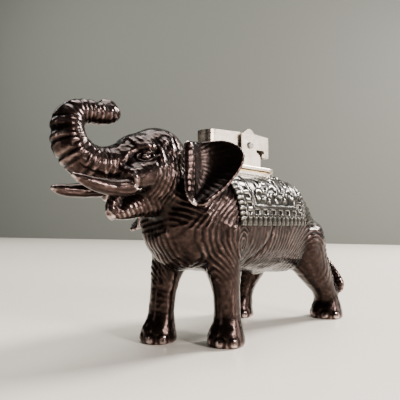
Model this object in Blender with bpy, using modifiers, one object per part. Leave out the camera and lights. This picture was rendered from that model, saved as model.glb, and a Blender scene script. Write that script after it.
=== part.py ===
"""Figural elephant table lighter: a hollow cast elephant with a lift-arm petrol lighter in its back.

Run it with blender --background --python part.py, or from Blender's text editor.
Lengths in the lists below are millimetres, and MM turns them into Blender's metres. The elephant faces -Y,
its left side is +X and it stands on z = 0. SHIFT puts the origin under the middle of the bounding box.
"""

import math

import bmesh
import bpy
from mathutils import Matrix, Vector

MM = 0.001
SHIFT = Vector((1.97, -2.22, 0.0))  # from the modelling frame to the bounding box's centre, in mm

# Driving dimensions, in millimetres
GAP = 0.3  # left between pieces that touch
HEAD_ROLL = math.radians(9.0)  # the head leans to its right
HEAD_AXIS_Z = 66.0  # height of the line about which the head leans
CASTING_WALL = 3.4
BODY_TRIANGLES = 5000

SEAT_Z = 66.8  # flat oval seat on the back, round the well
PLATE_FRONT, PLATE_REAR, PLATE_HALF = -9.0, 37.6, 8.2
PLATE_BOTTOM, PLATE_TOP = 69.7, 71.3
COLLAR_BOTTOM, COLLAR_TOP, SKIRT_BOTTOM = 67.1, 68.7, 58.0
TANK_FRONT, TANK_REAR, TANK_HALF = -6.4, 35.0, 6.3
TANK_BOTTOM, TANK_TOP, TANK_WALL = 43.0, 69.4, 0.6
PIVOT_Y, PIVOT_Z = 18.1, 81.0
SHAFT_R, BORE_R = 1.1, 1.25
BRACKET_OUTER, BRACKET_INNER = 5.8, 4.85
BRACKET_BOTTOM, BRACKET_FLOOR = 71.6, 72.5
ARM_HALF, ARM_SHEET = 4.5, 0.7
NOSE_Y = -2.6  # centre of the arm's round nose, in plan
WHEEL_R, WHEEL_HALF = 3.9, 1.5
RATCHET_TIP_R, RATCHET_ROOT_R, RATCHET_TEETH = 3.2, 2.5, 12
RATCHET_NEAR, RATCHET_FAR = 1.8, 2.6
PAWL_Y, PAWL_Z = 11.6, 83.2
WICK_Y = -1.0
FILLER_Y = 28.0
FLINT_TUBE_R, FLINT_TUBE_BORE = 2.1, 1.4

# The barrel's cross-sections: y, centre z, half width, height above, depth below, squareness of the back
SECTIONS = [
    (-31, 48, 8, 9, 10, 2.0), (-26, 48, 14, 15, 15.5, 2.2), (-20, 47, 17.5, 18.5, 17.5, 2.5),
    (-10, 46, 20, 20.5, 19, 3.0), (2, 45.5, 20.5, 20.8, 19, 3.3), (18, 45, 20.5, 21.2, 20, 3.3),
    (32, 45, 20.3, 21, 21, 3.2), (42, 44.5, 19.5, 20, 22, 2.9), (50, 44, 17.5, 17, 21, 2.5),
    (57, 43, 14, 13, 17, 2.2), (62, 42, 9.5, 9, 11, 2.0), (65, 42, 4, 4, 5, 2.0),
]


# ---------------------------------------------------------------- scene and materials

for old in list(bpy.data.objects):
    bpy.data.objects.remove(old)


def new_collection(name, hidden=False):
    collection = bpy.data.collections.new(name)
    collection.hide_render = hidden
    bpy.context.scene.collection.children.link(collection)
    return collection


PARTS = new_collection("elephant_table_lighter")
CUTTERS = new_collection("cutters", hidden=True)
ORIGIN = bpy.data.objects.new("figure_frame", None)
PARTS.objects.link(ORIGIN)


def material(name, colour, roughness, metallic):
    made = bpy.data.materials.new(name)
    made.use_nodes = True
    shader = made.node_tree.nodes["Principled BSDF"]
    shader.inputs["Base Color"].default_value = (*colour, 1.0)
    shader.inputs["Roughness"].default_value = roughness
    shader.inputs["Metallic"].default_value = metallic
    made.diffuse_color = (*colour, 1.0)
    return made


BRONZE = material("antique_bronze", (0.16, 0.09, 0.07), 0.38, 1.0)
PEWTER = material("blanket_bronze", (0.2, 0.18, 0.15), 0.4, 1.0)
CHROME = material("chrome", (0.75, 0.73, 0.7), 0.12, 1.0)
BRASS = material("brass", (0.72, 0.53, 0.25), 0.3, 1.0)
STEEL = material("steel", (0.42, 0.42, 0.43), 0.35, 1.0)
FLINT_GREY = material("flint", (0.12, 0.12, 0.13), 0.6, 0.3)
COTTON = material("cotton", (0.85, 0.83, 0.78), 0.95, 0.0)
RUBBER = material("rubber", (0.03, 0.03, 0.03), 0.8, 0.0)


# ---------------------------------------------------------------- helpers

def point(x, y, z):
    return Vector((x, y, z)) * MM


def finish(obj, name, look, at=(0.0, 0.0, 0.0), collection=PARTS):
    """Names the object, gives it its material and hangs it on the figure's frame at a place in mm."""
    obj.name = name
    obj.data.name = name
    obj.data.materials.clear()
    obj.data.materials.append(look)
    for other in list(obj.users_collection):
        other.objects.unlink(obj)
    collection.objects.link(obj)
    obj.parent = ORIGIN
    obj.location = point(*at)
    if obj.type == "MESH":
        obj.data.shade_smooth()
        obj.data.set_sharp_from_angle(angle=math.radians(40))
    return obj


def as_cutter(obj):
    """Moves an object to the cutters: it shapes other pieces and isn't one itself."""
    for other in list(obj.users_collection):
        other.objects.unlink(obj)
    CUTTERS.objects.link(obj)
    obj.parent = obj.parent or ORIGIN
    obj.hide_render = True
    obj.display_type = "WIRE"
    return obj


def boolean(obj, other, operation="DIFFERENCE"):
    step = obj.modifiers.new(f"{operation.lower()}_{other.name}", "BOOLEAN")
    step.operation = operation
    step.solver = "EXACT"
    step.object = as_cutter(other)
    return obj


def to_mesh(obj):
    """A new mesh object with the evaluated shape of obj, which is removed. A curve's caps are welded."""
    bpy.context.view_layer.update()
    graph = bpy.context.evaluated_depsgraph_get()
    mesh = bpy.data.meshes.new_from_object(obj.evaluated_get(graph))
    work = bmesh.new()
    work.from_mesh(mesh)
    bmesh.ops.remove_doubles(work, verts=work.verts, dist=0.005 * MM)
    work.to_mesh(mesh)
    work.free()
    made = bpy.data.objects.new(obj.name, mesh)
    made.matrix_world = obj.matrix_world
    bpy.context.scene.collection.objects.link(made)
    bpy.data.objects.remove(obj)
    return made


def new_curve(name, dimensions):
    curve = bpy.data.curves.new(name, "CURVE")
    curve.dimensions = dimensions
    obj = bpy.data.objects.new(name, curve)
    bpy.context.scene.collection.objects.link(obj)
    return obj


def limb(points, resolution=5):
    """A rounded tapering form along (x, y, z, radius) points in mm, as a mesh."""
    obj = new_curve("form", "3D")
    curve = obj.data
    curve.bevel_depth = MM
    curve.bevel_resolution = 4
    curve.use_fill_caps = True
    curve.resolution_u = resolution
    spline = curve.splines.new("BEZIER")
    spline.radius_interpolation = "CARDINAL"
    spline.bezier_points.add(len(points) - 1)
    for knot, (x, y, z, radius) in zip(spline.bezier_points, points):
        knot.co = point(x, y, z)
        knot.radius = radius
        knot.handle_left_type = knot.handle_right_type = "AUTO"
    return to_mesh(obj)


def ball(centre, radii):
    """An ellipsoid, in mm."""
    bpy.ops.mesh.primitive_uv_sphere_add(segments=24, ring_count=14, radius=MM, location=point(*centre))
    obj = bpy.context.object
    obj.scale = radii
    bpy.ops.object.transform_apply(location=False, rotation=False, scale=True)
    return obj


def rolled(x, y, z):
    """A point of the upright head, leaned by HEAD_ROLL about the head's long axis."""
    side, rise = x, z - HEAD_AXIS_Z
    cos, sin = math.cos(HEAD_ROLL), math.sin(HEAD_ROLL)
    return (side * cos - rise * sin, y, HEAD_AXIS_Z + side * sin + rise * cos)


def rolled_limb(points, resolution=5):
    return limb([(*rolled(x, y, z), radius) for x, y, z, radius in points], resolution)


def fuse(forms, voxel, smoothing, triangles=None):
    """Joins overlapping closed forms into one skin: voxel remesh, smoothing, then fewer triangles."""
    bpy.ops.object.select_all(action="DESELECT")
    for form in forms:
        form.select_set(True)
    bpy.context.view_layer.objects.active = forms[0]
    bpy.ops.object.join()
    obj = bpy.context.view_layer.objects.active
    remesh = obj.modifiers.new("remesh", "REMESH")
    remesh.mode = "VOXEL"
    remesh.voxel_size = voxel * MM
    smooth = obj.modifiers.new("smooth", "SMOOTH")
    smooth.factor = 0.5
    smooth.iterations = smoothing
    obj = to_mesh(obj)
    if triangles:
        fewer = obj.modifiers.new("fewer", "DECIMATE")
        fewer.ratio = triangles / (2 * len(obj.data.polygons))
        obj = to_mesh(obj)
    return obj


def arc(centre, radius, start, end, steps):
    """Points on an arc, angles in degrees, both ends included."""
    return [
        (centre[0] + radius * math.cos(math.radians(start + (end - start) * i / steps)),
         centre[1] + radius * math.sin(math.radians(start + (end - start) * i / steps)))
        for i in range(steps + 1)
    ]


def circle(centre, radius, steps=24):
    return arc(centre, radius, 0, 360, steps)[:-1]


def oval(front, rear, half, steps=12):
    """Plan outline, as (x, y), of a slot shape with round ends along Y."""
    return arc((0, rear - half), half, 0, 180, steps) + arc((0, front + half), half, 180, 360, steps)


def plate(outlines, low, high, side_view=False):
    """A flat piece with holes. In plan the outlines are (x, y) and low and high are heights;
    in side view the outlines are (y, z) and low and high are x."""
    obj = new_curve("plate", "2D")
    obj.data.fill_mode = "BOTH"
    obj.data.extrude = (high - low) / 2 * MM
    for outline in outlines:
        spline = obj.data.splines.new("POLY")
        spline.points.add(len(outline) - 1)
        for knot, (u, v) in zip(spline.points, outline):
            knot.co = (u * MM, v * MM, 0, 1)
        spline.use_cyclic_u = True
    middle = (high + low) / 2 * MM
    if side_view:
        obj.rotation_euler = (math.pi / 2, 0, math.pi / 2)
        obj.location = (middle, 0, 0)
    else:
        obj.location = (0, 0, middle)
    bpy.context.view_layer.update()
    made = to_mesh(obj)
    made.data.transform(made.matrix_world)
    made.matrix_world = Matrix.Identity(4)
    return made


def turned(profile, hollow=False, steps=24):
    """A solid turned about Z from (radius, z) points that run down the outer side."""
    mesh = bpy.data.meshes.new("turned")
    work = bmesh.new()
    knots = [work.verts.new(point(radius, 0, z)) for radius, z in profile]
    pairs = list(zip(knots, knots[1:])) + ([(knots[-1], knots[0])] if hollow else [])
    for pair in pairs:
        work.edges.new(pair)
    work.to_mesh(mesh)
    work.free()
    obj = bpy.data.objects.new("turned", mesh)
    bpy.context.scene.collection.objects.link(obj)
    screw = obj.modifiers.new("turn", "SCREW")
    screw.steps = screw.render_steps = steps
    screw.use_merge_vertices = True
    screw.merge_threshold = 0.01 * MM
    return to_mesh(obj)


def along_x(obj):
    """Lays a piece turned about Z along +X."""
    obj.data.transform(Matrix.Rotation(math.pi / 2, 4, "Y"))
    return obj


def moved(obj, x, y, z):
    obj.data.transform(Matrix.Translation(point(x, y, z)))
    return obj


def block(x0, x1, y0, y1, z0, z1):
    bpy.ops.mesh.primitive_cube_add(size=1)
    obj = bpy.context.object
    size = Matrix.Diagonal((*(point(x1 - x0, y1 - y0, z1 - z0)), 1.0))
    obj.data.transform(Matrix.Translation(point((x0 + x1) / 2, (y0 + y1) / 2, (z0 + z1) / 2)) @ size)
    return obj


def joined(name, pieces):
    """Several separate solids in one object."""
    bpy.ops.object.select_all(action="DESELECT")
    for piece in pieces:
        piece.select_set(True)
    bpy.context.view_layer.objects.active = pieces[0]
    bpy.ops.object.join()
    pieces[0].name = name
    return pieces[0]


def largest_body(obj):
    """Keeps only the largest connected piece of a mesh, after a cut has left crumbs."""
    work = bmesh.new()
    work.from_mesh(obj.data)
    left, bodies = set(work.verts), []
    while left:
        front, body = [left.pop()], set()
        while front:
            vert = front.pop()
            body.add(vert)
            for edge in vert.link_edges:
                other = edge.other_vert(vert)
                if other in left:
                    left.remove(other)
                    front.append(other)
        bodies.append(body)
    keep = max(bodies, key=len)
    bmesh.ops.delete(work, geom=[v for v in work.verts if v not in keep], context="VERTS")
    work.to_mesh(obj.data)
    work.free()
    return obj


# ---------------------------------------------------------------- the cast figure

TUSKS = {  # x, y, z, radius: the lean of the head sets the right one lower
    "left": [(9.0, -43.5, 59.4, 2.8), (9.3, -47.5, 57.8, 3.0), (9.2, -52.5, 57.0, 2.8),
             (9.0, -57.5, 57.4, 2.5), (8.7, -61.7, 58.2, 2.0), (8.3, -65.2, 59.4, 1.4),
             (8.0, -67.3, 60.3, 0.6)],
    "right": [(-6.3, -43.5, 58.6, 2.8), (-6.8, -48.0, 57.9, 2.8), (-7.2, -52.5, 57.4, 2.7),
              (-7.6, -58.0, 56.9, 2.4), (-7.8, -62.5, 56.9, 2.0), (-7.8, -65.0, 57.2, 1.4),
              (-7.8, -66.4, 57.5, 0.6)],
}
EAR_ROWS = [  # top to bottom in the upright head: (x, y, z) at the root and at the free edge
    ((12.8, -26.5, 73.1), (19.5, -13.5, 73.9)), ((12.8, -27.5, 71.1), (24.1, -8.8, 71.3)),
    ((12.8, -28.0, 68.0), (25.9, -8.0, 66.4)), ((12.6, -28.3, 64.0), (24.7, -9.8, 62.4)),
    ((12.4, -28.5, 60.0), (23.2, -12.6, 58.8)), ((12.4, -28.8, 55.9), (21.2, -16.9, 54.3)),
    ((12.7, -28.8, 52.4), (19.2, -21.6, 51.4)), ((14.7, -27.6, 49.6), (18.0, -24.6, 49.0)),
]


def barrel(inset=0.0, sections=SECTIONS, around=36):
    """A closed form lofted through the barrel's sections, drawn in by an inset in mm."""
    work = bmesh.new()
    rings = []
    for y, middle, half, above, below, square in sections:
        ring = []
        for i in range(around):
            turn = 2 * math.pi * i / around
            side, rise = math.cos(turn), math.sin(turn)
            power = square if rise > 0 else 2.2
            reach = (abs(side) ** power + abs(rise) ** power) ** (-1 / power)
            height = above if rise > 0 else below
            x = (half - inset) * reach * side
            z = middle + (height - inset) * reach * rise
            ring.append(work.verts.new(point(x, y, z)))
        rings.append(ring)
    for one, two in zip(rings, rings[1:]):
        for i in range(around):
            j = (i + 1) % around
            work.faces.new((one[i], one[j], two[j], two[i]))
    work.faces.new(rings[0])
    work.faces.new(rings[-1])
    bmesh.ops.recalc_face_normals(work, faces=work.faces)
    mesh = bpy.data.meshes.new("barrel")
    work.to_mesh(mesh)
    work.free()
    obj = bpy.data.objects.new("barrel", mesh)
    bpy.context.scene.collection.objects.link(obj)
    return obj


def torso_forms():
    neck = limb([(0, -10, 53, 14), (0, -20, 57, 14), (-1, -29, 62, 12.5)])
    chest = limb([(0, -24.5, 41, 9), (0, -19, 39, 11), (0, -8, 40, 12)])
    shoulders = [limb([(side * 8.5, -6, 52, 9), (side * 10.5, -9, 42, 11)]) for side in (1, -1)]
    return [barrel(), neck, chest, *shoulders]


def leg_forms():
    front_left = [(10.5, -8, 44, 10.5), (11.5, -7, 33, 8.2), (12, -5.5, 24, 6.1), (12.1, -4.6, 14, 5.3),
                  (12.2, -4.8, 7, 5.8), (12.2, -5.2, 3, 7.1), (12.2, -5.2, -1.5, 7.2)]
    front_right = [(-9.8, -11, 44, 10.5), (-10, -14, 33, 8.2), (-9.9, -17.2, 24, 6.1),
                   (-9.8, -19, 14, 5.3), (-9.8, -19.8, 7, 5.8), (-9.8, -20.6, 3, 7.1),
                   (-9.8, -20.6, -1.5, 7.2)]
    rear_left = [(9, 49, 42, 13.5), (11.5, 54, 30, 10), (13.5, 60.5, 20, 7.4), (14.6, 65, 13, 6.0),
                 (15, 66.6, 7, 6.3), (15, 66.2, 3, 7.6), (15, 66.2, -1.5, 7.8)]
    rear_right = [(-9, 45, 42, 13.5), (-12, 43, 30, 9.4), (-15, 40.5, 20, 7.0), (-16.4, 38.4, 13, 6.0),
                  (-17, 37.2, 7, 6.3), (-17.2, 36, 3, 7.6), (-17.2, 36, -1.5, 7.8)]
    return [limb(points) for points in (front_left, front_right, rear_left, rear_right)]


def head_forms():
    skull = ball(rolled(0, -30.5, 70), (12.2, 12.5, 11.6))
    brow = ball(rolled(0, -38, 69.5), (10.6, 9.5, 8.6))
    cheeks = [ball(rolled(side * 6, -34, 62), (6.5, 10, 9.5)) for side in (1, -1)]
    sheaths = [
        rolled_limb([(side * 6.5, -38, 62, 6), (side * 7.7, -44, 59.6, 4.6), (side * 8.2, -48.6, 58.2, 3.9)])
        for side in (1, -1)]
    jaw = rolled_limb([(0, -28, 57, 9), (0, -35, 54.5, 7), (0, -40.5, 52.3, 5), (0, -45, 50.0, 3.5),
                       (0, -48.4, 48.2, 2.1)])
    lip = rolled_limb([(0, -43, 57.2, 2.4), (0, -48.0, 55.2, 2.2), (0, -50.1, 51.4, 2.2), (0, -50.3, 48.2, 1.9),
                       (0, -49.4, 46.8, 1.4)])
    trunk = rolled_limb([
        (0, -36, 67, 10.0), (0, -44, 66.0, 8.4), (0, -50, 64.9, 7.0), (0, -55.4, 65.0, 6.2),
        (0, -60.2, 66.9, 6.0), (0, -63.3, 70.6, 5.7), (0, -64.2, 75.0, 5.3), (0, -63.4, 79.2, 4.8),
        (0, -60.6, 81.9, 4.3), (0, -56.2, 83.0, 3.9), (0, -51.6, 83.2, 3.7), (0, -48.0, 84.2, 3.6),
        (0, -45.6, 86.0, 3.0)])
    finger = ball(rolled(0, -49.3, 87.2), (2.5, 2.9, 2.4))
    return [skull, brow, *cheeks, *sheaths, jaw, lip, trunk, finger]


def tail_form():
    return limb([(0, 55, 50, 3.4), (1, 61, 49, 3), (3.5, 64.5, 45, 2.4), (8, 67, 38, 2.0), (13, 70, 28, 1.8), (17.5, 71.5, 21, 1.9),
                 (19.6, 71.8, 16, 2.3), (20, 71.4, 11.5, 1.2)])


def cast_skin():
    forms = [*torso_forms(), *leg_forms(), *head_forms(), tail_form()]
    return fuse(forms, voxel=0.8, smoothing=12, triangles=BODY_TRIANGLES)


def elephant_body(skin):
    """The hollow casting: feet cut flat, an oval seat on the back, and the well through it into the hollow."""
    body = finish(skin, "elephant_body", BRONZE)
    boolean(body, plate([oval(PLATE_FRONT - 1.2, PLATE_REAR + 1.2, PLATE_HALF + 1.0)], 58, SEAT_Z), "UNION")
    boolean(body, plate([oval(PLATE_FRONT - 0.6, PLATE_REAR + 0.6, PLATE_HALF + 0.6)], SEAT_Z, 90))
    boolean(body, barrel(CASTING_WALL, SECTIONS[2:-2], around=20))
    boolean(body, plate([oval(TANK_FRONT - 1.2, TANK_REAR + 1.2, TANK_HALF + 1.2)], 50, 80))
    boolean(body, block(-60, 60, -60, 100, -20, 0))
    return body


def ear_sheet(side, flare, drop):
    """The ear as an open sheet from its root to its free edge: a raised rim in front, then a hollow.
    flare moves the free edge outwards and forwards, and drop lowers the ear's tip, in mm."""
    across = 7
    ahead = Vector((0.8, -0.6, 0.0))
    work = bmesh.new()
    grid = []
    for row, (root, edge) in enumerate(EAR_ROWS):
        line = []
        fall = Vector((0, 0, -drop * (row / (len(EAR_ROWS) - 1)) ** 2))
        near, far = Vector(root) + fall, Vector(edge) + Vector((flare, -flare, 0)) + fall
        depth = 3.4 * math.sin(math.pi * (row + 0.6) / 8.2)
        for i in range(across + 1):
            share = i / across
            swell = 1.5 * math.exp(-((share - 0.1) / 0.12) ** 2) - depth * math.sin(math.pi * share) ** 1.2
            place = near.lerp(far, share) + ahead * swell
            line.append(work.verts.new(point(*rolled(side * place.x, place.y, place.z))))
        grid.append(line)
    for upper, lower in zip(grid, grid[1:]):
        for i in range(across):
            work.faces.new((upper[i], upper[i + 1], lower[i + 1], lower[i]))
    bmesh.ops.recalc_face_normals(work, faces=work.faces)
    mesh = bpy.data.meshes.new("ear")
    work.to_mesh(mesh)
    work.free()
    obj = bpy.data.objects.new("ear", mesh)
    bpy.context.scene.collection.objects.link(obj)
    thick = obj.modifiers.new("thickness", "SOLIDIFY")
    thick.thickness = 1.7 * MM
    thick.offset = 0
    round_off = obj.modifiers.new("round", "SUBSURF")
    round_off.levels = round_off.render_levels = 1
    return to_mesh(obj)


def seated(obj, skin_outside, name, look):
    """Cuts a soldered-on piece back to the casting's surface, less the gap."""
    boolean(obj, skin_outside)
    return finish(largest_body(to_mesh(obj)), name, look)


def copy_outside(skin, distance):
    """A copy of the casting's skin, swollen by a distance in mm."""
    copy = bpy.data.objects.new("skin_outside", skin.data.copy())
    bpy.context.scene.collection.objects.link(copy)
    swell = copy.modifiers.new("swell", "DISPLACE")
    swell.strength = distance * MM
    swell.mid_level = 0
    return to_mesh(copy)


def saddle_blanket(skin_outside):
    """The cast blanket: a sheet laid over the back, thickened outwards and open round the seat."""
    around, along = 24, 12
    work = bmesh.new()
    grid = []
    for i in range(around + 1):
        angle = math.radians(-90 + 180 * i / around)
        top = math.cos(angle) ** 2
        front, rear = -6.5 - 5.5 * top, 41.0 + 1.0 * top
        line = []
        for j in range(along + 1):
            y = front + (rear - front) * j / along
            line.append(work.verts.new(point(28 * math.sin(angle), y, 45 + 28 * math.cos(angle))))
        grid.append(line)
    for one, two in zip(grid, grid[1:]):
        for j in range(along):
            work.faces.new((one[j], two[j], two[j + 1], one[j + 1]))
    bmesh.ops.recalc_face_normals(work, faces=work.faces)
    mesh = bpy.data.meshes.new("blanket")
    work.to_mesh(mesh)
    work.free()
    sheet = bpy.data.objects.new("blanket", mesh)
    bpy.context.scene.collection.objects.link(sheet)
    wrap = sheet.modifiers.new("lay", "SHRINKWRAP")
    wrap.target = as_cutter(skin_outside)
    wrap.wrap_method = "NEAREST_SURFACEPOINT"
    wrap.wrap_mode = "ABOVE_SURFACE"
    wrap.offset = 0.25 * MM
    even = sheet.modifiers.new("even", "SMOOTH")
    even.factor = 0.5
    even.iterations = 2
    thick = sheet.modifiers.new("thickness", "SOLIDIFY")
    thick.thickness = 1.3 * MM
    thick.offset = 1
    sheet = finish(to_mesh(sheet), "saddle_blanket", PEWTER)
    return boolean(sheet, plate([oval(PLATE_FRONT - 1.6, PLATE_REAR + 1.6, PLATE_HALF + 1.4)], 40, 90))


def make_figure():
    skin = cast_skin()
    outside = copy_outside(skin, GAP)
    for side, word, flare, drop in ((1, "left", 0.0, 0.0), (-1, "right", 4.0, 3.0)):
        seated(ear_sheet(side, flare, drop), outside, f"{word}_ear", BRONZE)
        seated(limb(TUSKS[word], resolution=2), outside, f"{word}_tusk", BRONZE)
    saddle_blanket(outside)
    elephant_body(skin)


make_figure()


# ---------------------------------------------------------------- the lighter

def plan_plate(front, rear, half, low, high, holes=()):
    return plate([oval(front, rear, half), *holes], low, high)


def bore_x(radius, x0, x1, y, z, steps=20):
    """A cylinder along X, for bores."""
    return moved(along_x(turned([(0, x1), (radius, x1), (radius, x0), (0, x0)], steps=steps)), 0, y, z)


def soften(obj, width, segments=2, angle=35):
    step = obj.modifiers.new("soften", "BEVEL")
    step.width = width * MM
    step.segments = segments
    step.limit_method = "ANGLE"
    step.angle_limit = math.radians(angle)
    return obj


def make_well_collar():
    """A flanged oval sleeve that lines the well's mouth."""
    flange = plan_plate(PLATE_FRONT, PLATE_REAR, PLATE_HALF, COLLAR_BOTTOM, COLLAR_TOP)
    skirt = plan_plate(TANK_FRONT - 0.9, TANK_REAR + 0.9, TANK_HALF + 0.9, SKIRT_BOTTOM, COLLAR_BOTTOM + 0.5)
    collar = finish(flange, "well_collar", CHROME)
    boolean(collar, skirt, "UNION")
    boolean(collar, plan_plate(TANK_FRONT - GAP, TANK_REAR + GAP, TANK_HALF + GAP, 50, 80))
    soften(collar, 0.3, 1)


def make_tank():
    body = plan_plate(TANK_FRONT, TANK_REAR, TANK_HALF, TANK_BOTTOM, TANK_TOP)
    rim = plan_plate(TANK_FRONT - 1.0, TANK_REAR + 1.0, TANK_HALF + 0.8, COLLAR_TOP + GAP - 0.05, TANK_TOP)
    tank = finish(body, "fuel_tank", BRASS)
    boolean(tank, rim, "UNION")
    boolean(tank, plan_plate(TANK_FRONT + TANK_WALL, TANK_REAR - TANK_WALL, TANK_HALF - TANK_WALL,
                             TANK_BOTTOM + TANK_WALL, 80))
    bores = plate([circle((0, PIVOT_Y), FLINT_TUBE_R + GAP), circle((0, FILLER_Y), 2.2)], 40, 50)
    boolean(tank, bores)

    inset = TANK_WALL + GAP
    holes = [circle((0, PIVOT_Y), FLINT_TUBE_R + GAP, 16), circle((0, FILLER_Y), 2.4, 16)]
    pad = plan_plate(TANK_FRONT + inset, TANK_REAR - inset, TANK_HALF - inset, 43.9, 46.0, holes)
    finish(pad, "felt_pad", COTTON)
    holes = [circle((0, PIVOT_Y), FLINT_TUBE_R + GAP, 16), circle((0, WICK_Y), 1.7, 16)]
    wadding = plan_plate(TANK_FRONT + inset, TANK_REAR - inset, TANK_HALF - inset, 48.4, 66.5, holes)
    finish(wadding, "cotton_wadding", COTTON)


def make_base_plate():
    base = plan_plate(PLATE_FRONT, PLATE_REAR, PLATE_HALF, PLATE_BOTTOM, PLATE_TOP,
                      [circle((0, PIVOT_Y), FLINT_TUBE_R + GAP), circle((0, WICK_Y), 1.7)])
    finish(base, "base_plate", CHROME)
    soften(base, 0.45)


def make_wick():
    tube = turned([(1.6, 74.0), (2.1, 74.0), (2.1, 72.3), (3.0, 72.3), (3.0, 71.6), (1.6, 71.6)], hollow=True)
    finish(moved(tube, 0, WICK_Y, 0), "wick_tube", BRASS)
    wick = turned([(0, 75.3), (0.9, 75.2), (1.3, 74.7), (1.3, 50.0), (0, 50.0)], steps=14)
    finish(moved(wick, 0, WICK_Y, 0), "wick", COTTON)


def make_flint_gear():
    tube = turned([(FLINT_TUBE_BORE, 76.7), (FLINT_TUBE_R - 0.3, 76.7), (FLINT_TUBE_R, 76.4),
                   (FLINT_TUBE_R, TANK_BOTTOM), (FLINT_TUBE_BORE, TANK_BOTTOM)], hollow=True)
    finish(moved(tube, 0, PIVOT_Y, 0), "flint_tube", BRASS)
    flint = turned([(0, 76.8), (1.1, 76.8), (1.1, 71.0), (0, 71.0)], steps=16)
    finish(moved(flint, 0, PIVOT_Y, 0), "flint", FLINT_GREY)

    screw = turned([(0, 48.0), (1.1, 48.0), (1.1, 42.7), (2.9, 42.7), (2.9, 41.6), (2.6, 41.2), (0, 41.2)])
    screw = finish(screw, "flint_screw", BRASS, at=(0, PIVOT_Y, 0))
    slot = block(-0.35, 0.35, -4, 4, 40, 41.8)
    slot.parent = screw
    boolean(screw, slot)

    filler = turned([(0, 47.6), (1.9, 47.6), (1.9, 42.0), (3.3, 42.0), (3.3, 40.9), (3.0, 40.5), (0, 40.5)])
    filler = finish(filler, "filler_screw", BRASS, at=(0, FILLER_Y, 0))
    slot = block(-0.4, 0.4, -4, 4, 39, 41.2)
    slot.parent = filler
    boolean(filler, slot)
    washer = turned([(2.15, 42.75), (3.1, 42.75), (3.1, 42.25), (2.15, 42.25)], hollow=True)
    finish(moved(washer, 0, FILLER_Y, 0), "filler_washer", RUBBER)


def make_coil(name, radius, wire, low, high, turns, x, y, per_turn=9):
    """A compression spring standing on z = low."""
    obj = new_curve(name, "3D")
    curve = obj.data
    curve.bevel_depth = wire * MM
    curve.bevel_resolution = 0
    curve.use_fill_caps = True
    spline = curve.splines.new("POLY")
    count = turns * per_turn
    spline.points.add(count)
    for i, knot in enumerate(spline.points):
        turn = 2 * math.pi * i / per_turn
        height = wire + (high - low - 2 * wire) * i / count
        knot.co = (*point(radius * math.cos(turn), radius * math.sin(turn), height), 1)
    return finish(to_mesh(obj), name, STEEL, at=(x, y, low))


def make_bracket():
    """Two side plates on a floor: the arm and the wheel turn between them."""
    outline = [(12.3, BRACKET_BOTTOM), (25.7, BRACKET_BOTTOM), (25.7, 76.4), (24.9, 77.4), (22.8, 78.4),
               (22.3, 84.6), (21.6, 86.4), *arc((17.9, 85.0), 3.4, 45, 135, 6), (12.3, 85.2)]
    bracket = finish(plate([outline], -BRACKET_OUTER, BRACKET_OUTER, side_view=True), "bracket", CHROME)
    boolean(bracket, block(-BRACKET_INNER, BRACKET_INNER, 0, 40, BRACKET_FLOOR, 95))
    boolean(bracket, plate([circle((0, PIVOT_Y), FLINT_TUBE_R + GAP)], 60, 80))
    boolean(bracket, bore_x(BORE_R, -10, 10, PIVOT_Y, PIVOT_Z))
    soften(bracket, 0.15, 1)


def make_wheel():
    """The flint wheel and, on its left face, the ratchet: one turned and cut piece."""
    teeth = 30
    outline = []
    for i in range(teeth):
        turn = 2 * math.pi * i / teeth
        for share, radius in ((0.0, WHEEL_R), (0.35, WHEEL_R), (0.6, WHEEL_R - 0.4)):
            angle = turn + share * 2 * math.pi / teeth
            outline.append((radius * math.cos(angle), radius * math.sin(angle)))
    wheel = plate([outline, circle((0, 0), BORE_R)], -WHEEL_HALF, WHEEL_HALF, side_view=True)
    finish(wheel, "flint_wheel", STEEL, at=(0, PIVOT_Y, PIVOT_Z))

    outline = []
    for i in range(RATCHET_TEETH):
        turn = 2 * math.pi * i / RATCHET_TEETH
        step = 2 * math.pi / RATCHET_TEETH
        for angle, radius in ((turn, RATCHET_TIP_R), (turn + 0.12 * step, RATCHET_ROOT_R)):
            outline.append((radius * math.cos(angle), radius * math.sin(angle)))
    ratchet = plate([outline, circle((0, 0), BORE_R)], RATCHET_NEAR, RATCHET_FAR, side_view=True)
    finish(ratchet, "ratchet_wheel", STEEL, at=(0, PIVOT_Y, PIVOT_Z))


def make_pivot():
    face = BRACKET_OUTER + 0.1
    shaft = turned([(0, 6.9), (1.1, 6.9), (1.5, 6.6), (1.5, face), (SHAFT_R, face), (SHAFT_R, -7.0), (0, -7.0)])
    screw = finish(along_x(shaft), "pivot_screw", STEEL, at=(0, PIVOT_Y, PIVOT_Z))
    slot = block(6.45, 8, -3, 3, -0.25, 0.25)
    slot.parent = screw
    boolean(screw, slot)
    nut = plate([circle((0, 0), 1.9, 6), circle((0, 0), SHAFT_R + 0.15)], -6.9, -face, side_view=True)
    finish(nut, "pivot_nut", STEEL, at=(0, PIVOT_Y, PIVOT_Z))


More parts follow.
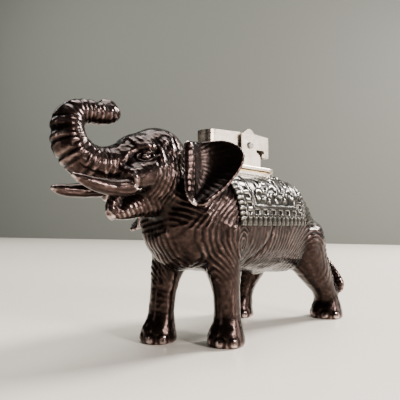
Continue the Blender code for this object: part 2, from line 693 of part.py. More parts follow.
def make_arm():
    """The lift arm: a channel with a round nose, open below, and a hooked thumb box behind the pivot."""
    outline = [(-8, 79.4), (8, 79.4), (13, 78.5), (22.6, 78.5), (24.4, 80.0), (30.2, 80.0), (30.2, 78.6),
               (28.6, 78.4), (28.6, 76.8), (33.4, 76.8), (33.4, 86.7), (24.0, 86.9), (13.0, 86.4), (-8, 84.7)]
    rear = 33.4 - ARM_SHEET
    roof = [(-8, 70), (rear, 70), (rear, 86.0), (24.0, 86.2), (13.0, 85.7), (-8, 84.0)]
    arm = plate([outline], -ARM_HALF, ARM_HALF, side_view=True)
    plan = plate([oval(NOSE_Y - ARM_HALF, 60, ARM_HALF)], 60, 100)
    boolean(arm, plan, "INTERSECT")
    arm = finish(to_mesh(arm), "lift_arm", CHROME)
    inner = ARM_HALF - ARM_SHEET
    hollow = plate([roof], -inner, inner, side_view=True)
    boolean(hollow, plate([oval(NOSE_Y - inner, 60, inner)], 60, 100), "INTERSECT")
    boolean(arm, to_mesh(hollow))
    boolean(arm, bore_x(BORE_R, -10, 10, PIVOT_Y, PIVOT_Z))
    return arm


def make_snuffer():
    cup = turned([(0, 83.0), (0.9, 83.0), (0.9, 80.4), (2.9, 80.4), (3.4, 79.9), (3.4, 72.6), (2.9, 72.6),
                  (2.9, 79.7), (0, 79.7)])
    return finish(moved(cup, 0, WICK_Y, 0), "snuffer_cup", CHROME)


def make_pawl():
    """A small lever pinned in the arm: its tip rests in the ratchet's teeth."""
    outline = [(-1.0, 0.4), (-0.6, -1.0), (0.6, -1.1), (3.0, -1.1), (3.1, -0.8), (1.0, 0.6), (0.2, 1.2)]
    pawl = plate([outline, circle((0, 0), 0.5, 12)], RATCHET_NEAR, RATCHET_FAR, side_view=True)
    finish(pawl, "pawl", STEEL, at=(0, PAWL_Y, PAWL_Z))
    pin = turned([(0, 3.6), (0.35, 3.6), (0.35, -3.6), (0, -3.6)], steps=12)
    finish(moved(along_x(pin), 0, PAWL_Y, PAWL_Z), "pawl_pin", STEEL)


make_well_collar()
make_tank()
make_base_plate()
make_wick()
make_flint_gear()
make_coil("flint_spring", 0.85, 0.22, 48.2, 70.8, 11, 0, PIVOT_Y, per_turn=7)
make_bracket()
make_wheel()
make_pivot()
make_arm()
make_snuffer()
make_pawl()
make_coil("arm_spring", 1.7, 0.3, BRACKET_FLOOR + 0.1, 85.9, 7, 0, 26.6)

ORIGIN.location = SHIFT * MM
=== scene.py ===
import math

import bmesh
import bpy
import numpy as np
from mathutils import Matrix, Vector
from mathutils.bvhtree import BVHTree


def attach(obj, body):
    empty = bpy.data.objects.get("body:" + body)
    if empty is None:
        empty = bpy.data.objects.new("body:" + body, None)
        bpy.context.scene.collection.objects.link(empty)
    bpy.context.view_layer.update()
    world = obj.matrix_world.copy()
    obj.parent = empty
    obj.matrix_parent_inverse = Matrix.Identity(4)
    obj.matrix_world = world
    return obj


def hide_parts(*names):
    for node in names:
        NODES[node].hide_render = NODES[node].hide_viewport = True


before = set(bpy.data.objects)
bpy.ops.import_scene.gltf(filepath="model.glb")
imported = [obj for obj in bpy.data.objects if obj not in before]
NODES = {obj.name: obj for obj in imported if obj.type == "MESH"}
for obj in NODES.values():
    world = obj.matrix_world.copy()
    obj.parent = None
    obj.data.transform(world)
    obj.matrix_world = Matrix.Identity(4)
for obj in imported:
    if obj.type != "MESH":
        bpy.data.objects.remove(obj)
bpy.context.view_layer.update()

# Lengths below are millimetres in the figure's own frame: -Y is forward, +X its left side, z = 0 the floor.
MM = 0.001
SHIFT = np.array((1.97, -2.22, 0.0))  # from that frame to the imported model's
HEAD_ROLL = math.radians(9.0)
HEAD_AXIS_Z = 66.0
SEAT_Z = 66.8
TANK_OVAL = (-7.6, 36.2, 7.5)  # front, rear and half width of the well's mouth
SEAT_OVAL = (-10.6, 39.2, 9.8)  # the blanket's opening round the seat
SKIN_VOXEL = 0.47
EAR_VOXEL = 0.36
TUSK_VOXEL = 0.3
SPLIT_Y = 12.0  # where the casting's two pieces meet, under the blanket
EYE_AT = (-41.6, 66.9)  # y and z on the upright head


# ------------------------------------------------------------------ numpy helpers

def to_world(points):
    return (np.asarray(points, float) + SHIFT) * MM


def from_world(points):
    return np.asarray(points, float) / MM - SHIFT


def smoothstep(low, high, value):
    t = np.clip((value - low) / (high - low), 0.0, 1.0)
    return t * t * (3.0 - 2.0 * t)


def window(value, low, high, soft):
    """1 between low and high, falling to 0 over soft on either side."""
    return smoothstep(low - soft, low + soft, value) * (1.0 - smoothstep(high - soft, high + soft, value))


def lattice_noise(points, size, seed):
    """Smooth value noise in -1..1 with cells of that size."""
    p = np.asarray(points, float) / size + 1000.0
    cell = np.floor(p).astype(np.int64)
    f = p - cell
    f = f * f * (3.0 - 2.0 * f)
    total = np.zeros(len(p))
    for dx in (0, 1):
        for dy in (0, 1):
            for dz in (0, 1):
                key = ((cell[:, 0] + dx) * 73856093 ^ (cell[:, 1] + dy) * 19349663
                       ^ (cell[:, 2] + dz) * 83492791 ^ (seed * 2654435761))
                key = (key ^ (key >> 13)) * 1274126177 & 0xFFFFFFFF
                key = (key ^ (key >> 16)) & 0xFFFF
                weight = (np.where(dx, f[:, 0], 1 - f[:, 0]) * np.where(dy, f[:, 1], 1 - f[:, 1])
                          * np.where(dz, f[:, 2], 1 - f[:, 2]))
                total += weight * (key / 32767.5 - 1.0)
    return total


def ridges(phase, power=0.6):
    """Round ridges with narrow grooves at each whole number, in 0..1."""
    return np.abs(np.sin(np.pi * phase)) ** power


def bump(distance, width):
    """1 at no distance, fading out over about twice the width."""
    return np.exp(-(distance / width) ** 2)


def table(at, rows):
    """Values interpolated along a short table of (key, value) rows."""
    return np.interp(at, *zip(*rows))


def mirrored(x, y, z):
    """Points with both sides of the head folded onto one."""
    return np.stack((np.abs(x), y, z), 1)


def unrolled(points):
    """The leaned head's points, set upright."""
    c, s = math.cos(HEAD_ROLL), math.sin(HEAD_ROLL)
    x, rise = points[:, 0], points[:, 2] - HEAD_AXIS_Z
    return np.stack((x * c + rise * s, points[:, 1], HEAD_AXIS_Z - x * s + rise * c), 1)


def along_line(points, line):
    """(arc length, distance) of each point's nearest place on a polyline."""
    line = np.asarray(line, float)
    best = np.full(len(points), 1e9)
    where = np.zeros(len(points))
    start = 0.0
    for a, b in zip(line, line[1:]):
        step = b - a
        length = np.linalg.norm(step)
        t = np.clip((points - a) @ step / length ** 2, 0, 1)
        distance = np.linalg.norm(points - a - t[:, None] * step, axis=1)
        nearer = distance < best
        best[nearer] = distance[nearer]
        where[nearer] = start + t[nearer] * length
        start += length
    return where, best


class Skin:
    """A mesh's vertices as an array in the figure's frame, with smoothing and displacement."""

    def __init__(self, mesh):
        self.mesh = mesh
        co = np.empty(len(mesh.vertices) * 3)
        mesh.vertices.foreach_get("co", co)
        self.points = from_world(co.reshape(-1, 3))
        edges = np.empty(len(mesh.edges) * 2, dtype=np.int64)
        mesh.edges.foreach_get("vertices", edges)
        self.edges = edges.reshape(-1, 2)
        self.degree = np.maximum(np.bincount(self.edges.ravel(), minlength=len(self.points)), 1)

    def average(self, values):
        """The mean of each vertex's neighbours."""
        one, two = self.edges[:, 0], self.edges[:, 1]
        count = len(self.points)
        columns = [
            np.bincount(one, values[:, i][two], count) + np.bincount(two, values[:, i][one], count)
            for i in range(values.shape[1])
        ]
        return np.stack(columns, 1) / self.degree[:, None]

    def smooth(self, times, keep=None):
        """Evens the surface without shrinking it: each step in is followed by a step out.

        A single step only goes in. Vertices marked in keep stay where they are.
        """
        for i in range(times):
            share = 0.6 if i % 2 == 0 or times == 1 else -0.61
            moved = self.points + share * (self.average(self.points) - self.points)
            self.points = moved if keep is None else np.where(keep[:, None], self.points, moved)

    def normals(self):
        self.write()
        out = np.empty(len(self.points) * 3)
        self.mesh.vertex_normals.foreach_get("vector", out)
        return out.reshape(-1, 3)

    def write(self):
        self.mesh.vertices.foreach_set("co", to_world(self.points).ravel())
        self.mesh.update()

    def raise_by(self, normals, height):
        self.points = self.points + normals * height[:, None]

    def mark_wear_and_painted_shade(self, times=7, scale=0.22, shade=0.0):
        """A vertex value of 0 in grooves and 1 on ridges: how far each point stands proud, less any painted
        shade given.
        """
        normals = self.normals()
        smooth = self.points.copy()
        for _ in range(times):
            smooth += 0.7 * (self.average(smooth) - smooth)
        proud = ((self.points - smooth) * normals).sum(1)
        value = np.clip(0.5 + 0.5 * proud / scale - shade, 0, 1)
        layer = self.mesh.attributes.new("wear_and_painted_shade", "FLOAT", "POINT")
        layer.data.foreach_set("value", value.astype(np.float32))


# ------------------------------------------------------------------ object helpers

def link(name, mesh):
    obj = bpy.data.objects.new(name, mesh)
    bpy.context.scene.collection.objects.link(obj)
    return obj


def applied(obj):
    """The same object with its modifiers turned into mesh."""
    graph = bpy.context.evaluated_depsgraph_get()
    graph.update()
    mesh = bpy.data.meshes.new_from_object(obj.evaluated_get(graph))
    obj.modifiers.clear()
    obj.data = mesh
    return obj


def voxels(obj, size):
    step = obj.modifiers.new("remesh", "REMESH")
    step.mode = "VOXEL"
    step.voxel_size = size * MM
    return applied(obj)


def finished(obj, body, look, slot, *nodes):
    """The piece with its material and body, in place of the named CAD nodes; the slot argument is not used."""
    obj.data.materials.clear()
    obj.data.materials.append(look)
    obj.data.shade_smooth()
    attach(obj, body)
    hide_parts(*nodes)


def in_oval(points, oval, grow=0.0):
    """How far inside a slot-shaped outline each point is, in plan; negative is outside."""
    front, rear, half = oval
    y = np.clip(points[:, 1], front + half, rear - half)
    return half + grow - np.hypot(points[:, 0], points[:, 1] - y)


def onto_oval(place, oval, z):
    """The nearest place on the slot-shaped outline at that height, in the scene's frame."""
    front, rear, half = oval
    centre = Vector((0, min(max(place[1], front + half), rear - half)))
    rim = centre + (Vector((place[0], place[1])) - centre).normalized() * half
    return Vector(to_world((rim.x, rim.y, z)))


# ------------------------------------------------------------------ materials

def new_material(name):
    made = bpy.data.materials.new(name)
    made.use_nodes = True
    nodes, links = made.node_tree.nodes, made.node_tree.links
    return made, nodes, links, nodes["Principled BSDF"]


def ramp(nodes, stops):
    made = nodes.new("ShaderNodeValToRGB")
    elements = made.color_ramp.elements
    while len(elements) < len(stops):
        elements.new(0.5)
    for element, (place, colour) in zip(elements, stops):
        element.position = place
        element.color = (*colour, 1)
    return made


def noise_node(nodes, links, scale, detail=3.0, rough=0.55, stretch=None):
    coords = nodes.new("ShaderNodeTexCoord")
    made = nodes.new("ShaderNodeTexNoise")
    made.inputs["Scale"].default_value = scale
    made.inputs["Detail"].default_value = detail
    made.inputs["Roughness"].default_value = rough
    if stretch:
        mapping = nodes.new("ShaderNodeMapping")
        mapping.inputs["Scale"].default_value = stretch
        links.new(coords.outputs["Object"], mapping.inputs["Vector"])
        links.new(mapping.outputs["Vector"], made.inputs["Vector"])
    else:
        links.new(coords.outputs["Object"], made.inputs["Vector"])
    return made


def maths(nodes, links, operation, one, two):
    made = nodes.new("ShaderNodeMath")
    made.operation = operation
    for socket, value in zip(made.inputs, (one, two)):
        if isinstance(value, (int, float)):
            socket.default_value = value
        else:
            links.new(value, socket)
    return made.outputs[0]


def map_range(nodes, links, value, source, target, socket):
    """Feeds a shader socket with a value stretched from one range to another."""
    made = nodes.new("ShaderNodeMapRange")
    made.inputs["From Min"].default_value, made.inputs["From Max"].default_value = source
    made.inputs["To Min"].default_value, made.inputs["To Max"].default_value = target
    links.new(value, made.inputs["Value"])
    links.new(made.outputs["Result"], socket)


def add_bump(nodes, links, shader, height, strength, distance):
    made = nodes.new("ShaderNodeBump")
    made.inputs["Strength"].default_value = strength
    made.inputs["Distance"].default_value = distance
    links.new(height, made.inputs["Height"])
    links.new(made.outputs["Normal"], shader.inputs["Normal"])


def bronze(name, stops, rough_low, rough_high):
    """Antiqued plate: dark in the grooves, rubbed bright on the ridges, blotched by handling, and darker where
    painted shade lowers the wear value.
    """
    made, nodes, links, shader = new_material(name)
    wear_and_painted_shade = nodes.new("ShaderNodeAttribute")
    wear_and_painted_shade.attribute_name = "wear_and_painted_shade"
    blotch = noise_node(nodes, links, 90.0, 4.0, 0.6)
    grain = noise_node(nodes, links, 900.0, 3.0, 0.6)
    level = maths(nodes, links, "MULTIPLY_ADD", wear_and_painted_shade.outputs["Fac"], 0.95)
    level.node.inputs[2].default_value = -0.17
    spread = maths(nodes, links, "MULTIPLY", blotch.outputs["Fac"], 0.34)
    level = maths(nodes, links, "ADD", level, spread)
    speck = maths(nodes, links, "MULTIPLY", grain.outputs["Fac"], 0.12)
    level = maths(nodes, links, "ADD", level, speck)
    colours = ramp(nodes, stops)
    links.new(level, colours.inputs["Fac"])
    links.new(colours.outputs["Color"], shader.inputs["Base Color"])
    map_range(nodes, links, level, (0.25, 0.85), (rough_high, rough_low), shader.inputs["Roughness"])
    shader.inputs["Metallic"].default_value = 0.92
    add_bump(nodes, links, shader, grain.outputs["Fac"], 0.35, 0.00012)
    return made


def plated(name, colour, tint, low, high, scale, stretch, bump_depth=0.00002):
    """Bright or drawn metal with fine directional scratches and smudges."""
    made, nodes, links, shader = new_material(name)
    scratch = noise_node(nodes, links, scale, 4.0, 0.7, stretch)
    smudge = noise_node(nodes, links, 160.0, 3.0, 0.55)
    colours = ramp(nodes, [(0.32, tint), (0.62, colour)])
    links.new(smudge.outputs["Fac"], colours.inputs["Fac"])
    links.new(colours.outputs["Color"], shader.inputs["Base Color"])
    both = maths(nodes, links, "MULTIPLY", scratch.outputs["Fac"], smudge.outputs["Fac"])
    map_range(nodes, links, both, (0.12, 0.42), (low, high), shader.inputs["Roughness"])
    shader.inputs["Metallic"].default_value = 1.0
    add_bump(nodes, links, shader, scratch.outputs["Fac"], 0.3, bump_depth)
    return made


def fibrous(name, colour, dark, scale):
    """Matt wadding, felt or rubber."""
    made, nodes, links, shader = new_material(name)
    fuzz = noise_node(nodes, links, scale, 5.0, 0.7)
    colours = ramp(nodes, [(0.35, dark), (0.65, colour)])
    links.new(fuzz.outputs["Fac"], colours.inputs["Fac"])
    links.new(colours.outputs["Color"], shader.inputs["Base Color"])
    shader.inputs["Roughness"].default_value = 0.95
    shader.inputs["Sheen Weight"].default_value = 0.3
    add_bump(nodes, links, shader, fuzz.outputs["Fac"], 0.8, 0.0003)
    return made


BRONZE = bronze(
    "antique_bronze",
    [(0.28, (0.005, 0.0035, 0.003)), (0.54, (0.018, 0.011, 0.009)), (0.74, (0.050, 0.031, 0.027)),
     (0.88, (0.155, 0.108, 0.099)), (1.0, (0.52, 0.41, 0.385))],
    0.16, 0.32)
PEWTER = bronze(
    "blanket_bronze",
    [(0.26, (0.005, 0.005, 0.0045)), (0.50, (0.020, 0.019, 0.0165)), (0.70, (0.062, 0.058, 0.050)),
     (0.86, (0.20, 0.185, 0.165)), (1.0, (0.56, 0.53, 0.48))],
    0.17, 0.34)
CHROME = plated("chrome", (0.70, 0.61, 0.52), (0.38, 0.31, 0.25), 0.18, 0.40, 700.0, (1.0, 0.12, 1.0))
BRASS = plated("brass", (0.78, 0.57, 0.27), (0.58, 0.38, 0.16), 0.18, 0.42, 900.0, (1.0, 1.0, 0.1))
STEEL = plated("steel", (0.45, 0.44, 0.43), (0.26, 0.24, 0.23), 0.24, 0.5, 1100.0, (0.15, 1.0, 1.0))
FLINT_GREY = plated("flint", (0.14, 0.14, 0.15), (0.07, 0.07, 0.075), 0.5, 0.75, 1500.0, (1.0, 1.0, 1.0),
                    0.00008)
COTTON = fibrous("cotton", (0.86, 0.83, 0.77), (0.62, 0.57, 0.49), 1600.0)
RUBBER = fibrous("rubber", (0.035, 0.035, 0.036), (0.018, 0.018, 0.018), 700.0)


# ------------------------------------------------------------------ the casting's skin

def split_shell(source):
    """(outer skin, inner wall) of the CAD casting, as meshes: the well's rim divides them."""
    work = bmesh.new()
    work.from_mesh(source.data)
    bmesh.ops.remove_doubles(work, verts=work.verts, dist=0.002 * MM)
    rim = set()
    for vert in work.verts:
        place = from_world(vert.co)
        if abs(place[2] - SEAT_Z) < 0.05 and abs(in_oval(place[None], TANK_OVAL)[0]) < 0.15:
            rim.add(vert)
    start = min(work.faces, key=lambda face: face.calc_center_median().z)
    outer, queue = {start}, [start]
    while queue:
        face = queue.pop()
        for edge in face.edges:
            if edge.verts[0] in rim and edge.verts[1] in rim:
                continue
            for other in edge.link_faces:
                if other not in outer:
                    outer.add(other)
                    queue.append(other)
    outer_index = {face.index for face in outer}
    meshes = []
    for keep_outer in (True, False):
        part = work.copy()
        part.faces.ensure_lookup_table()
        gone = [face for face in part.faces if (face.index in outer_index) != keep_outer]
        bmesh.ops.delete(part, geom=gone, context="FACES")
        if keep_outer:
            open_edges = [edge for edge in part.edges if edge.is_boundary]
            bmesh.ops.contextual_create(part, geom=open_edges)
        mesh = bpy.data.meshes.new("shell")
        part.to_mesh(mesh)
        part.free()
        meshes.append(mesh)
    work.free()
    return meshes


# Centre lines in the figure frame, used to lay the wrinkles out; the trunk's is on the upright head
TRUNK = [(0, -44, 66.0), (0, -50, 64.9), (0, -55.4, 65.0), (0, -60.2, 66.9), (0, -63.3, 70.6),
         (0, -64.2, 75.0), (0, -63.4, 79.2), (0, -60.6, 81.9), (0, -56.2, 83.0), (0, -51.6, 83.2),
         (0, -48.0, 84.2), (0, -45.6, 86.0)]
TRUNK_HUB = (0.0, -53.5, 76.0)  # the middle of its curl
TAIL = [(0, 60, 52), (3, 63.5, 47), (8, 67, 38), (13, 70, 28), (17.5, 71.5, 21), (19.6, 71.8, 16),
        (20, 71.4, 11.5)]
LEGS = {
    "front_left": [(10.5, -8, 44), (11.5, -7, 33), (12, -5.5, 24), (12.1, -4.6, 14), (12.2, -5, 0)],
    "front_right": [(-9.8, -11, 44), (-10, -14, 33), (-9.9, -17.2, 24), (-9.8, -19, 14), (-9.8, -20.4, 0)],
    "rear_left": [(9, 49, 42), (11.5, 54, 30), (13.5, 60.5, 20), (14.6, 65, 13), (15, 66.4, 0)],
    "rear_right": [(-9, 45, 42), (-12, 43, 30), (-15, 40.5, 20), (-16.4, 38.4, 13), (-17.1, 36.4, 0)],
}
# The hide's arcs on the shoulders: one arc as (z, y) from the leg up, and the spacing (z, mm) there
SHOULDER_ARC = [(20, -2.6), (24, -3.9), (28, -6.8), (32, -10.6), (36, -14.6), (40, -17.0), (44, -17.2),
                (48, -14.6), (53, -9.8), (58, -6), (64, -3)]
SHOULDER_STEP = [(20, 1.5), (27, 1.7), (31, 1.9), (36, 2.1), (42, 2.3), (50, 2.2), (62, 2.2)]
RUMP_EDGE = [(13, 66.0), (20, 62.0), (30, 56.0), (42, 52.0), (60, 52.0)]  # (z, y) where its level folds start
FLANK_FOLD = [(0, 15.2, 46), (0, 14.3, 43.4), (0, 11.4, 37.4), (0, 4.8, 31.0)]
EAR_GROOVE = [(9, -30.2, 77), (11.5, -29.8, 73), (11.6, -29.4, 66), (11.5, -30.2, 59), (9.5, -29.6, 52)]
TEMPLE_EDGE = [(11.5, -33.4, 73.6), (11.6, -36.2, 70.6), (11.5, -36.6, 66.5), (11.0, -35.0, 62.0)]
TUSK_ROOT = [(6.5, -38, 62), (7.7, -44, 59.6), (8.2, -50, 58.0)]
FEET = ((12.2, -5.2), (-9.8, -20.6), (15, 66.2), (-17.2, 36))
TOE_ANGLES = (-66, -22, 22, 66)
# How far the rings round each lower leg lean from level
SHANK_TILT = {"front_left": -0.45, "front_right": 0.3, "rear_left": 0.45, "rear_right": -0.2}


def leg_wrinkles(p, noise_a, noise_b):
    """(height, weight) of the arcs over the shoulders and thighs and the rings round the lower legs."""
    total = np.zeros(len(p))
    cover = np.zeros(len(p))
    x, y, z = p.T
    for name, line in LEGS.items():
        side = 1.0 if name.endswith("left") else -1.0
        _, distance = along_line(p, line)
        own = smoothstep(-1.5, 1.5, side * x)
        shank_y = table(z, [(at_z, at_y) for _, at_y, at_z in reversed(line)])
        if name.startswith("front"):
            forward_step = 0.0 if side > 0 else 9.0 * smoothstep(46, 24, z)
            ahead = y + 0.55 * np.maximum(0, 14 - np.abs(x)) + forward_step
            phase = (ahead - table(z, SHOULDER_ARC)) / table(z, SHOULDER_STEP)
            first, last = -40 + 19 * smoothstep(40, 50, z), -3.5 + 4.5 * (1 - smoothstep(30, 38, z))
            reach = window(y, first, last, 3.0)
            fades = smoothstep(20, 30, z + 2.5 * noise_b)
        else:
            centre_y = 46.5 if side > 0 else 44.0
            from_knee = np.hypot(y - centre_y - 0.35 * np.maximum(0, 31 - z), 0.8 * (z - 31))
            phase = -(from_knee + 0.18 * (z - 31)) / 2.1
            reach = window(y, 26, 75, 3.0) * (0.15 + 0.85 * smoothstep(3.5, 9.0, from_knee))
            fades = smoothstep(15, 27, z + 2.5 * noise_b)
        arcs = ridges(phase + 0.22 * noise_a + 0.3 * noise_b, 0.9)
        rings = ridges(z / 2.1 + SHANK_TILT[name] * (y - shank_y) / 2.1 + 0.35 * noise_a, 0.9)
        upper = reach * own * (1 - smoothstep(57, 64, z)) * fades * smoothstep(3, 8, np.abs(x))
        shank = (1 - fades) * (distance < 11) * own * smoothstep(6.0, 9.0, z)
        patch = 0.25 + 0.75 * smoothstep(0.0, 0.5, noise_b)
        total += upper * arcs * 0.85 + shank * rings * 0.3 * patch
        cover += np.clip(upper + shank, 0, 1)
    return total, np.clip(cover, 0, 1)


def trunk_relief(head, noise_a):
    """(how far each point is on the trunk, height) for points on the upright head."""
    _, y, z = head.T
    where, away = along_line(head, TRUNK)
    on_trunk = smoothstep(-48, -53, y) * (away < 9)
    on_trunk = np.where(y > -47, ((z > 78.5) & (away < 6)).astype(float), on_trunk)
    centre = np.array(TRUNK, float)
    lengths = np.r_[0, np.cumsum(np.linalg.norm(np.diff(centre, axis=0), axis=1))]
    middle = np.array([np.interp(where, lengths, centre[:, i]) for i in range(3)]).T
    outward = head - middle
    outward /= np.maximum(np.linalg.norm(outward, axis=1, keepdims=True), 1e-6)
    from_hub = middle - np.array(TRUNK_HUB)
    from_hub /= np.maximum(np.linalg.norm(from_hub, axis=1, keepdims=True), 1e-6)
    outer = smoothstep(0.25, 0.7, (outward * from_hub).sum(1))
    tip = smoothstep(-52.5, -49.5, y) * (z > 78.5)
    rings = 0.36 * ridges(where / 1.65 + 0.2 * noise_a, 0.9)
    plates = 0.75 * ridges(where / 2.9 + 0.15 * noise_a, 0.6) - 0.15
    return on_trunk, on_trunk * ((1 - outer) * rings + outer * plates) * (1 - 0.75 * tip)


def body_relief(p):
    """The height in mm that the carved wrinkles add to the smooth skin."""
    noise_a = lattice_noise(p, 9.0, 3)
    noise_b = lattice_noise(p, 17.0, 5)
    fade = np.clip(0.66 + 0.62 * lattice_noise(p, 6.5, 8), 0.12, 1.15)
    head = unrolled(p)
    x, y, z = p.T
    hx, hy, hz = head.T

    legs, covered = leg_wrinkles(p, noise_a, noise_b)
    height = 0.62 * legs * fade

    # flank: upright stripes that lean back
    flank = window(y, -1, 38, 3) * window(z, 22, 60, 3) * smoothstep(6, 12, np.abs(x)) * (1 - covered)
    height += 0.34 * flank * fade * ridges((y - 0.25 * (z - 45)) / 2.1 + 0.3 * noise_a, 0.9)
    # belly: cross folds
    belly = window(y, -2, 40, 4) * (1 - smoothstep(24, 31, z)) * (1 - covered) * smoothstep(12, 20, z)
    height += 0.3 * belly * ridges(y / 2.3 + 0.3 * noise_a, 0.8)
    # fold of the flank, and the small swelling under the belly
    _, fold = along_line(np.stack((0 * y, y, z), 1), FLANK_FOLD)
    height -= 0.5 * bump(fold, 0.9) * smoothstep(8, 14, np.abs(x))
    under = (1 - smoothstep(25, 32, z)) * smoothstep(12, 20, z)
    height += 1.5 * bump(np.hypot(y - 27, 1.3 * x), 5.0) * under
    # rump: level folds across the back of the thighs
    rump = smoothstep(-0.8, 2.2, y - table(z, RUMP_EDGE)) * smoothstep(13, 20, z)
    level_folds = ridges((z - 0.35 * y) / 2.4 + 0.3 * noise_a, 0.7)
    height = height * (1 - 0.9 * rump) + 0.5 * rump * fade * level_folds
    # neck and breast: folds that hang between the jaw and the forelegs
    neck = window(hy, -36, -13, 3) * smoothstep(38, 44, z) * (1 - smoothstep(66, 74, z)) * (1 - 0.8 * covered)
    folds = ridges((hz + 0.5 * (hy + 30)) / 2.2 + 0.35 * noise_a, 0.8)
    height += 0.5 * neck * fade * folds
    breast = (1 - smoothstep(-20, -15, y)) * window(z, 24, 42, 4) * (1 - smoothstep(6, 11, np.abs(x)))
    height += 0.4 * breast * ridges(x / 2.1 + 0.4 * noise_a + 0.1 * z / 2.1, 0.8)
    # the swelling of the feet
    height += 0.35 * (1 - smoothstep(5.5, 11.0, z))

    # trunk: close rings, broad plates along its outer side, both fainter at the tip
    on_trunk, rings = trunk_relief(head, noise_a)
    height += rings
    # base of the trunk: broad soft folds that die out on the forehead
    base = window(hy, -51, -40, 2.5) * smoothstep(66, 70, hz) * (1 - on_trunk)
    soft_folds = ridges((hy + 0.35 * (hz - 70)) / 2.3 + 0.3 * noise_a, 0.8)
    height += 0.25 * base * soft_folds * (0.6 + 0.4 * noise_b)

    # tail: ridges across it
    tail_at, tail_away = along_line(p, TAIL)
    tail = (tail_away < 3.6) * smoothstep(10, 16, tail_at)
    height = height * (1 - tail) + tail * 0.2 * ridges(tail_at / 1.9 + 0.2 * noise_a)

    height += head_relief(hx, hy, hz, noise_a, on_trunk)
    height += toe_relief(p)
    curl, curled = whorl(p)
    height = height * (1 - curled) + curl
    height += 0.10 * lattice_noise(p, 1.7, 21) + 0.05 * lattice_noise(p, 0.8, 22)
    seat = smoothstep(SEAT_Z - 1.0, SEAT_Z - 0.4, z) * (in_oval(p, TANK_OVAL, 4.0) > 0)
    return height * (1 - seat) * smoothstep(0.0, 0.7, z)


def head_relief(x, y, z, noise_a, on_trunk):
    """Eyes, temples, cheeks, tusk roots, lower lip, face and crown, on the upright head."""
    height = np.zeros(len(x))
    side = np.abs(x)
    on_side = smoothstep(5.0, 7.5, side)
    # eye: ball, a groove, the lid round it, and a groove and a brow above
    ey, ez = EYE_AT
    u, v = (y - ey) / 1.55, (z - ez - 0.12 * (y - ey)) / 0.95
    ring = np.hypot(u, v)
    height += on_side * 0.5 * np.clip(1 - ring ** 2, 0, 1) ** 0.6
    height -= on_side * 0.6 * bump(ring - 1.2, 0.26)
    height += on_side * 0.26 * bump(ring - 1.75, 0.3)
    height -= on_side * 0.5 * bump(ring - 2.6, 0.8) * smoothstep(-0.6, 0.8, v)
    height += on_side * 0.22 * bump(ring - 4.2, 0.7) * smoothstep(0.0, 1.2, v)
    # temple and cheek: lines that run from behind the eye down to the jaw
    cheek = window(y, -40, -29.5, 1.5) * window(z, 50, 74, 3) * on_side * smoothstep(2.2, 3.4, ring)
    curve = y + 0.018 * (z - 64) ** 2
    height += 0.34 * cheek * ridges(curve / 1.75 + 0.35 * noise_a, 0.9)
    # the edge of the temple, and the groove in front of the ear
    _, groove = along_line(mirrored(x, y, z), EAR_GROOVE)
    height += 0.2 * bump(groove - 1.3, 0.9) - 0.75 * bump(groove, 0.45)
    _, temple = along_line(mirrored(x, y, z), TEMPLE_EDGE)
    height += 0.3 * bump(temple, 0.9) - 0.25 * bump(temple - 1.8, 0.8)
    # tusk roots: a low collar with a groove behind it
    root, root_away = along_line(mirrored(x, y, z), TUSK_ROOT)
    near = (root_away < 6.5).astype(float)
    height += near * (0.12 * bump(root - 10.8, 0.8) - 0.2 * bump(root - 9.2, 0.5))
    # lower lip: short slanting strokes
    lip = (1 - smoothstep(54.5, 56.5, z + 0.25 * (y + 45))) * (y < -33) * smoothstep(46, 48, z)
    height += 0.28 * lip * ridges((y + 0.8 * z) / 1.9 + 0.3 * noise_a, 0.7)
    # the finely pitted face between the trunk and the eye
    face = window(y, -52, -38, 3) * smoothstep(57, 61, z)
    height += 0.22 * face * lattice_noise(np.stack((x, y, z), 1), 1.1, 61)
    # crown: a shallow dip between two domes
    height -= 0.5 * bump(side, 2.2) * window(y, -38, -24, 3) * smoothstep(74, 78, z)
    return height * (1 - on_trunk)


def toe_relief(p):
    """Four rounded nails on the front of each foot."""
    height = np.zeros(len(p))
    for cx, cy in FEET:
        dx, dy = p[:, 0] - cx, p[:, 1] - cy
        near = (np.hypot(dx, dy) < 10.5) & (p[:, 2] < 7)
        angle = np.degrees(np.arctan2(dx, -dy))
        for toe in TOE_ANGLES:
            u = (angle - toe) / 15.0
            v = (p[:, 2] - 2.0) / 1.9
            d = np.sqrt(np.abs(u) ** 2.4 + np.abs(v) ** 2.4)
            height += near * (0.34 * (1 - smoothstep(0.5, 0.98, d)) - 0.14 * bump(d - 1.18, 0.2))
    return height


def whorl(p):
    """The leaf-shaped curl of the hide on each shoulder: (height, weight)."""
    dy, dz = p[:, 1] + 4.2, p[:, 2] - 38.6
    rings = np.hypot(dy / 3.6, dz / 6.2)
    on = (np.abs(p[:, 0]) > 8) * (1 - smoothstep(0.95, 1.15, rings))
    return on * 0.5 * ridges(rings * 2.6 + 0.5 + 0.25 * dz / 6.2, 0.9), on


def make_casting():
    """(the carved casting, the smooth skin under its relief as a search tree)"""
    outer, inner = split_shell(NODES["elephant_body"])
    obj = voxels(link("cast_elephant", outer), SKIN_VOXEL)
    skin = Skin(obj.data)
    flat = (skin.points[:, 2] < 0.35) | (
        (skin.points[:, 2] > SEAT_Z - 0.6) & (in_oval(skin.points, TANK_OVAL, 3.5) > 0))
    skin.smooth(60, flat)
    # the hips' upper edges round off into the rump
    x, y, z = skin.points.T
    hips = (np.abs(x) > 7) & (y > 38) & (np.abs(z - 48) < 9)
    for _ in range(90):
        skin.smooth(1, ~hips)
    skin.write()
    smooth_tree = BVHTree.FromPolygons(
        [Vector(v) for v in skin.points], [tuple(f.vertices) for f in obj.data.polygons])
    normals = skin.normals()
    height = body_relief(skin.points)
    skin.raise_by(normals, height)
    skin.points[:, 2] = np.maximum(skin.points[:, 2], 0.0)
    skin.smooth(1, flat)
    skin.write()
    skin.mark_wear_and_painted_shade()
    open_well(obj, inner)
    return obj, smooth_tree


